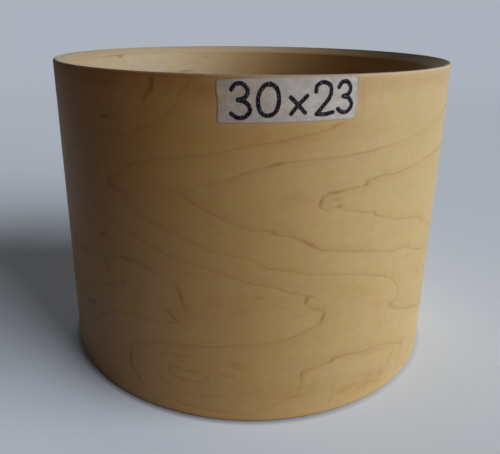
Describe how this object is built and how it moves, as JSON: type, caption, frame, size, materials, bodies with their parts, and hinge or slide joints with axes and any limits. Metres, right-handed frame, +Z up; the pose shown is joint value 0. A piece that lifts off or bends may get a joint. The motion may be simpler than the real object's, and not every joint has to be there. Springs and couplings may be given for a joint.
{
  "type": "drum shell",
  "caption": "Bare cross-laminated maple drum shell: an undrilled open cylinder with a bevelled bearing edge at both rims and a strip of masking tape that carries its size.",
  "frame": {"origin": "on the shell's axis, in the plane of the bottom rim's land", "axes": "+Z up along the shell's axis, -Y to the front, where the tape is, +X to the viewer's right"},
  "size_m": [0.3016, 0.3018, 0.2286],
  "materials": {
    "maple_outer_face": "bare maple veneer, sanded, grain running round the shell, satin sheen",
    "maple_cross_band": "bare maple veneer with upright grain, end grain on the bevel",
    "maple_core": "bare maple veneer, grain running round the shell, side grain on the bevel",
    "maple_inner_face": "bare maple veneer, sanded, pale",
    "masking_tape": "crepe paper masking tape with black marker"
  },
  "bodies": {
    "root": {"ply_01_outer_face": "maple_outer_face", "ply_02_cross_band": "maple_cross_band", "ply_03_core": "maple_core", "ply_04_cross_band": "maple_cross_band", "ply_05_core": "maple_core", "ply_06_core": "maple_core", "ply_07_cross_band": "maple_cross_band", "ply_08_core": "maple_core", "ply_09_cross_band": "maple_cross_band", "ply_10_inner_face": "maple_inner_face", "size_tape": "masking_tape"}
  },
  "joints": []
}
